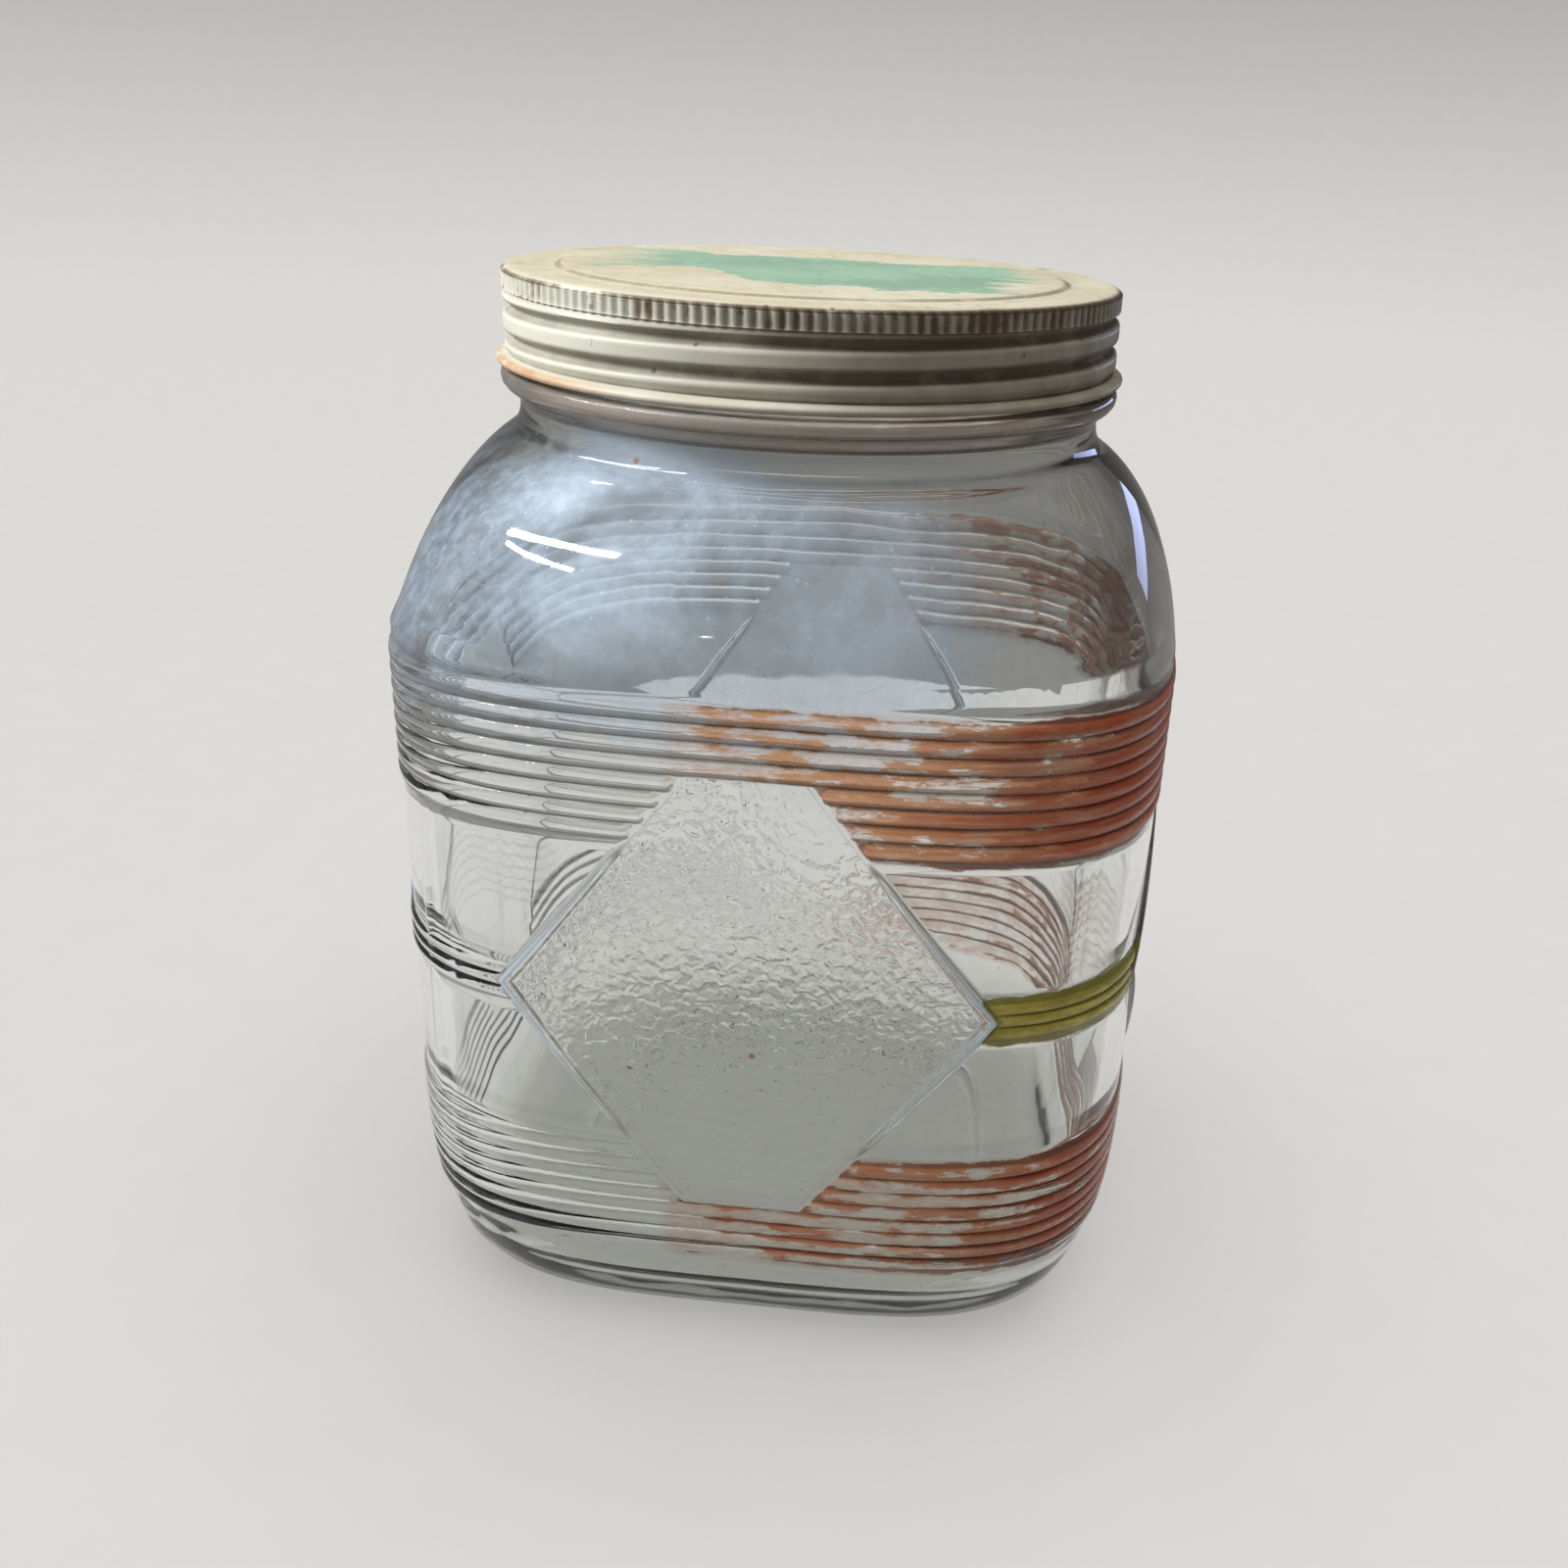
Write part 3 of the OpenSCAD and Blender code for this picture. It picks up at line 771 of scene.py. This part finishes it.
def wornEnamel():
    w = Wires("worn_cream_enamel")
    look = lidLook
    form = w.layer("form")
    flute, dent = form[0], form[2]
    x, y, z = w.axes()[0:3]
    cloud = w.noise(34, 5, twist=0.5)
    patch = w.noise(75, 5, rough=0.65, shift=(5, 2, 1))
    fine = w.noise(420, 4, rough=0.65)
    top = w.ramp(z, 0.1892, 0.1895)
    tone = w.blend(w.ramp(cloud, 0.36, 0.68), look["cream"], look["yellowed"])
    tone = w.blend(w.ramp(top, 0.0, 1.0, 0.7, 0.0), tone, look["skirt"])

    # grime where hands don't rub it off, in the screw groove and in the flutes, together with painted shade
    # there; painted shade on whatever faces down; all of it heavier towards the right, which is partly
    # painted shade
    facing = w.nodes.new("ShaderNodeNewGeometry").outputs["Normal"]
    split = w.nodes.new("ShaderNodeSeparateXYZ")
    w.put(split.inputs[0], facing)
    downShade = w.times(w.ramp(split.outputs[2], 0.05, -0.55), w.ramp(z, 0.1752, 0.1775, 0.25, 1.0))
    groove = w.ramp(dent, 0.08, 0.50)
    fluteDirtAndShade = w.times(w.ramp(flute, 0.10, 0.75), w.ramp(x, -0.052, -0.018, 0.30, 0.95))
    # rising towards the right: partly painted shade on the side away from the light
    side = w.ramp(x, -0.040, 0.045, 0.25, 1.0)
    uneven = w.times(w.ramp(patch, 0.28, 0.62, 0.55, 1.0), w.ramp(side, 0.0, 1.0, 0.55, 0.92))
    dirtAndShade = w.times(w.most(groove, fluteDirtAndShade, downShade), uneven)
    # a duller, darker skirt towards its right: grime, and painted shade on the side away from the light
    skirtGrimeAndShade = w.times(side, w.ramp(patch, 0.3, 0.7, 0.35, 0.62), w.math('SUBTRACT', 1.0, top),
                      w.ramp(x, -0.010, 0.038, 0.55, 1.0))
    tone = w.blend(skirtGrimeAndShade, tone, look["grimeAndShade"])
    tone = w.blend(dirtAndShade, tone, look["grimeAndShade"])

    # rust: brown in spots, most of them in the flutes, and orange on the left of the hem
    spots = w.ramp(w.math('MULTIPLY_ADD', flute, 0.14, patch), 0.60, 0.74)
    atKnurl = w.times(w.ramp(z, 0.1846, 0.1856), w.ramp(z, 0.18965, 0.18940))
    rust = w.times(spots, w.most(w.times(atKnurl, 0.8), 0.12))
    tone = w.blend(rust, tone, look["rust"])
    atHem = w.ramp(z, 0.1752, 0.1748)
    hemRust = w.times(w.ramp(patch, 0.36, 0.56), w.ramp(x, -0.02, -0.046, 0.12, 0.9), atHem)
    tone = w.blend(hemRust, tone, look["rustBright"])

    # dark line of dirt over the knurls, round the step of the top and round its edge, heavier towards the
    # right, which is partly painted shade
    overKnurls = w.times(w.ramp(z, 0.1884, 0.1888), w.ramp(z, 0.1894, 0.1891))
    dirtAndRightShade = w.math('ADD', patch, w.times(side, 0.12))
    edgeDirtAndShade = w.times(overKnurls, w.ramp(dirtAndRightShade, 0.42, 0.58, 0.15, 0.85))
    tone = w.blend(edgeDirtAndShade, tone, look["rust"])
    out = w.math('SQRT', w.math('ADD', w.times(x, x), w.times(y, y)))
    fromStep = w.math('ABSOLUTE', w.math('SUBTRACT', out, lid["centreRadius"] * mm))
    ring = w.ramp(fromStep, 0.0009, 0.0002, 0.0, 0.6)
    rim = w.ramp(out, 0.0548, 0.0556)
    lines = w.times(w.most(ring, rim), w.times(top, w.ramp(patch, 0.36, 0.56, 0.25, 0.95)))
    tone = w.blend(lines, tone, look["grimeAndShade"])

    # a patch of green brushed across the top: a wavy outline, thin and streaky at its left end
    bristle = w.noise(34, 6, stretch=(0.6, 8, 1), twist=0.2, rough=0.7)
    lumps = w.noise(42, 5, rough=0.6, shift=(2, 7, 0))
    shapeX = w.math('MULTIPLY_ADD', w.math('SUBTRACT', bristle, 0.5), 0.05, x)
    shapeY = w.math('MULTIPLY_ADD', w.math('SUBTRACT', lumps, 0.5), 0.034, y)
    front = w.ramp(x, -0.020, -0.005, -0.009, -0.028)
    brush = w.times(w.ramp(shapeX, -0.044, -0.028), w.ramp(shapeX, 0.0375, 0.0360),
                    w.ramp(w.math('SUBTRACT', shapeY, front), -0.001, 0.001),
                    w.ramp(shapeY, 0.0235, 0.0215), w.ramp(z, 0.1896, 0.1898))
    streaky = w.ramp(w.math('ADD', bristle, w.ramp(x, -0.04, 0.0)), 0.35, 0.8, 0.3, 0.96)
    green = w.blend(w.ramp(lumps, 0.35, 0.65), look["mint"], look["mintDark"])
    tone = w.blend(w.times(brush, streaky), tone, green)

    # scuffs, specks and chips
    scuff = w.ramp(w.noise(90, 6, stretch=(0.4, 5, 1), rough=0.8, shift=(9, 3, 0)), 0.66, 0.72)
    speck = w.ramp(w.cells(170), 0.10, 0.05)
    chips = w.times(w.most(w.times(scuff, 0.5), speck), w.ramp(cloud, 0.3, 0.6, 0.2, 0.75))
    tone = w.blend(chips, tone, look["grimeAndShade"])
    rough = w.math('ADD', w.ramp(fine, 0.3, 0.7, 0.34, 0.50), w.times(w.most(rust, dirtAndShade), 0.3))
    grain = w.bump(fine, 0.00006)
    pits = w.bump(w.times(w.most(rust, chips), fine), 0.00018, 1.0, grain)
    return w.surface({"Base Color": tone, "Roughness": rough, "Normal": pits})


lidPiece.data.materials.clear()
lidPiece.data.materials.append(wornEnamel())
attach(lidPiece, "lid")
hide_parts("lid_shell")
print("lid finished")


# liner discs

liner = {
    "radius": 54.4,
    "edge": 0.096,
    "dent": 0.05,                      # in the facing alone
    "columns": 160,
}
# radius and share of the dent there
rimMark = [(0, 0), (20, 0), (40, 0), (47.4, 0), (48.6, 0.7), (50, 1), (51.5, 1), (52.8, 0.7), (53.8, 0)]


def makeDisc(name, low, high, dentDepth):
    # a thin disc with softened edges and, under it, the mark that the jar's rim has pressed dentDepth deep
    low, high, edge, radius = low.z / mm, high.z / mm, liner["edge"], liner["radius"]
    rows = [(low + dentDepth * share, r) for r, share in rimMark]
    rows += [(low, radius - edge), (low + edge * 0.3, radius - edge * 0.3), (low + edge, radius),
             (high - edge, radius), (high - edge * 0.3, radius - edge * 0.3), (high, radius - edge),
             (high, 50), (high, 36), (high, 18), (high, 0)]
    z, r = (row[:, None] for row in np.array(rows).T)
    angle = np.arange(liner["columns"])[None, :] * 2 * math.pi / liner["columns"]
    piece = rollSheet(name, r * np.cos(angle), r * np.sin(angle), z + 0 * angle)
    closeAndSmooth(piece, 50)
    return piece


linerLook = {
    "board": (0.36, 0.29, 0.19),
    "fibre": (0.52, 0.44, 0.32),
    "fleck": (0.20, 0.15, 0.10),
    "paper": (0.80, 0.77, 0.68),
    "aged": (0.68, 0.61, 0.46),
    "spot": (0.34, 0.20, 0.09),
}


def pulpBoard():
    w = Wires("grey_pulp_board")
    fibre = w.noise(190, 6, stretch=(1, 3, 1), twist=1.2, rough=0.7)
    tone = w.blend(w.ramp(fibre, 0.35, 0.65), linerLook["board"], linerLook["fibre"])
    tone = w.blend(w.ramp(w.cells(160), 0.14, 0.05, 0, 0.6), tone, linerLook["fleck"])
    return w.surface({"Base Color": tone, "Roughness": w.ramp(fibre, 0.2, 0.8, 0.8, 0.95),
                      "Normal": w.bump(fibre, 0.0002)})


def waxedPaper():
    w = Wires("waxed_paper_facing")
    cloud = w.noise(30, 5, twist=0.5)
    fine = w.noise(380, 4, rough=0.6)
    tone = w.blend(w.ramp(cloud, 0.4, 0.66), linerLook["paper"], linerLook["aged"])
    tone = w.blend(w.ramp(w.cells(70), 0.06, 0.03, 0, 0.5), tone, linerLook["spot"])
    return w.surface({"Base Color": tone, "Roughness": w.ramp(fine, 0.3, 0.7, 0.28, 0.42),
                      "Normal": w.bump(fine, 0.00005)})


boardPiece = makeDisc("liner_board_disc", boardLow, boardHigh, 0)
boardPiece.data.materials.clear()
boardPiece.data.materials.append(pulpBoard())
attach(boardPiece, "liner")
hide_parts("liner_board")
facingPiece = makeDisc("liner_facing_disc", facingLow, facingHigh, liner["dent"])
facingPiece.data.materials.clear()
facingPiece.data.materials.append(waxedPaper())
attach(facingPiece, "liner")
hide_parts("liner_facing")
print("liner finished")


# studio

studio = {
    "floor": (0.66, 0.655, 0.645),
    "flatReach": 1.5,                      # metres, as are all places and sizes here
    "sweepBend": 0.8,
    "wallTop": 2.4,
    "wash": (0.5, 2.3),                    # with shadows and without
    "ambient": 0.24,
    "ambientTone": (1.0, 0.95, 0.88, 1),
    "cardReach": 0.36,
    "cardTop": 0.46,
    "cardTone": (1.0, 0.97, 0.92, 1),
    "cardGlow": (0.26, 0.09),              # low and high
    "cool": (0.9, 0.95, 1.0),
    "blue": (0.5, 0.58, 1.0),
}
# the two soft lamps: place, size, power, colour and aim
softLamps = {
    "key": ((-1.12, -0.20, 0.88), (0.6, 0.6), 34.0, (0.93, 0.97, 1.0), (0, 0, 0.1)),
    "top": ((0.10, 0.0, 0.98), (0.5, 0.5), 3.0, (1.0, 0.98, 0.95), (0, 0, 0.19)),
}
# narrow tubes whose reflections draw the thin bright lines on the shoulder, a small lamp for a glint, and a
# blue one for the edge on the right: place, size, power, colour, aim and the direction of the first side
shineLamps = {
    "streak_long": ((-0.212, -0.080, 0.339), (0.22, 0.009), 0.30, "cool",
                    (-0.032, -0.058, 0.152), (0.43, -0.87, 0.22)),
    "streak_short": ((-0.236, -0.084, 0.326), (0.17, 0.005), 0.15, "cool",
                     (-0.036, -0.059, 0.149), (0.33, -0.93, 0.16)),
    "streak_high": ((-0.142, 0.025, 0.394), (0.115, 0.004), 0.045, "cool",
                    (-0.020, -0.053, 0.161), (0.61, -0.64, 0.46)),
    "glint": ((-0.105, -0.540, 0.270), (0.008, 0.008), 0.0165, "cool",
              (-0.005, -0.070, 0.130), None),
    "edge": ((0.208, 0.202, 0.193), (0.12, 0.03), 0.04, "blue",
             (0.061, -0.027, 0.151), (0.73, -0.68, 0.09)),
}


def roundCard(name, rows):
    # a round studio card from pairs of height and radius in metres
    z, r = (row[:, None] / mm for row in np.array(rows).T)
    angle = np.arange(96)[None, :] * 2 * math.pi / 96
    card = rollSheet(name, r * np.cos(angle), r * np.sin(angle), z + 0 * angle)
    closeAndSmooth(card, 80)
    card.data.materials.clear()
    return card


def makeFloor():
    # a pale sweep: flat under the jar and curving up into a wall all round
    flat, bend = studio["flatReach"], studio["sweepBend"]
    ground = -0.0001                       # just under the jar's foot
    rows = [(ground, 0), (ground, 0.3), (ground, flat)]
    turns = np.radians(np.linspace(10, 90, 9))
    rows += [(bend * (1 - math.cos(t)), flat + bend * math.sin(t)) for t in turns]
    sweep = roundCard("studio_sweep", rows + [(studio["wallTop"], flat + bend)])
    w = Wires("matt_paper_sweep")
    tone = w.blend(w.noise(60, 4), studio["floor"], tuple(c * 0.96 for c in studio["floor"]))
    sweep.data.materials.append(w.surface({"Base Color": tone, "Roughness": 0.9}))
    sweep.visible_diffuse = False          # it lights neither the jar nor the lid from below
    return sweep


def makeCard():
    # a grey card all round, seen only through the glass and in gloss, darker upwards, so that clear
    # glass shows its edges
    high = studio["cardTop"]
    card = roundCard("glass_card", [(t * high, studio["cardReach"]) for t in (0, 0.25, 0.5, 0.75, 1)])
    w = Wires("graded_grey_card")
    low, top = studio["cardGlow"]
    glow = w.ramp(w.axes()[2], 0.0, 0.25, low, top)
    card.data.materials.append(w.surface({
        "Base Color": (0.0, 0.0, 0.0, 1),
        "Specular IOR Level": 0.0,
        "Emission Color": studio["cardTone"],
        "Emission Strength": glow,
    }))
    card.visible_camera = card.visible_diffuse = card.visible_shadow = False


def areaLight(name, place, size, power, colour, aim, along=None):
    # a rectangular lamp facing aim, its first side lying along a direction
    data = bpy.data.lights.new(name, 'AREA')
    data.shape = 'RECTANGLE'
    data.size, data.size_y = size
    data.energy = power
    data.color = colour
    lamp = bpy.data.objects.new(name, data)
    bpy.context.collection.objects.link(lamp)
    back = (Vector(place) - Vector(aim)).normalized()
    side = Vector(along) if along else Vector((0, 0, 1)).cross(back)
    side = (side - side.dot(back) * back).normalized()
    turn = Matrix((side, back.cross(side), back)).transposed().to_4x4()
    lamp.matrix_world = Matrix.Translation(place) @ turn
    lamp.visible_camera = lamp.visible_transmission = False
    return lamp


def washLight(power, shadows, sweep):
    # soft light from above for the sweep alone
    data = bpy.data.lights.new("wash", 'SUN')
    data.energy = power
    data.angle = math.radians(70)
    data.use_shadow = shadows
    lamp = bpy.data.objects.new("wash", data)
    bpy.context.collection.objects.link(lamp)
    lamp.visible_transmission = lamp.visible_glossy = False
    onlyFloor = bpy.data.collections.new("only_floor")
    onlyFloor.objects.link(sweep)
    lamp.light_linking.receiver_collection = onlyFloor


def makeStudio():
    sweep = makeFloor()
    makeCard()
    notFloor = bpy.data.collections.new("not_floor")
    notFloor.objects.link(sweep)
    notFloor.collection_objects[0].light_linking.link_state = 'EXCLUDE'
    for name, (place, size, power, colour, aim) in softLamps.items():
        lamp = areaLight(name, place, size, power, colour, aim)
        lamp.visible_glossy = False
        lamp.light_linking.receiver_collection = notFloor
    for name, (place, size, power, colour, aim, along) in shineLamps.items():
        lamp = areaLight(name, place, size, power, studio[colour], aim, along)
        lamp.visible_diffuse = False
    for power, shadows in zip(studio["wash"], (True, False)):
        washLight(power, shadows, sweep)
    world = bpy.data.worlds.new("studio")
    world.use_nodes = True
    background = world.node_tree.nodes["Background"]
    background.inputs["Color"].default_value = studio["ambientTone"]
    background.inputs["Strength"].default_value = studio["ambient"]
    bpy.context.scene.world = world
    bpy.context.scene.view_settings.view_transform = 'Standard'


makeStudio()
print("studio lit")
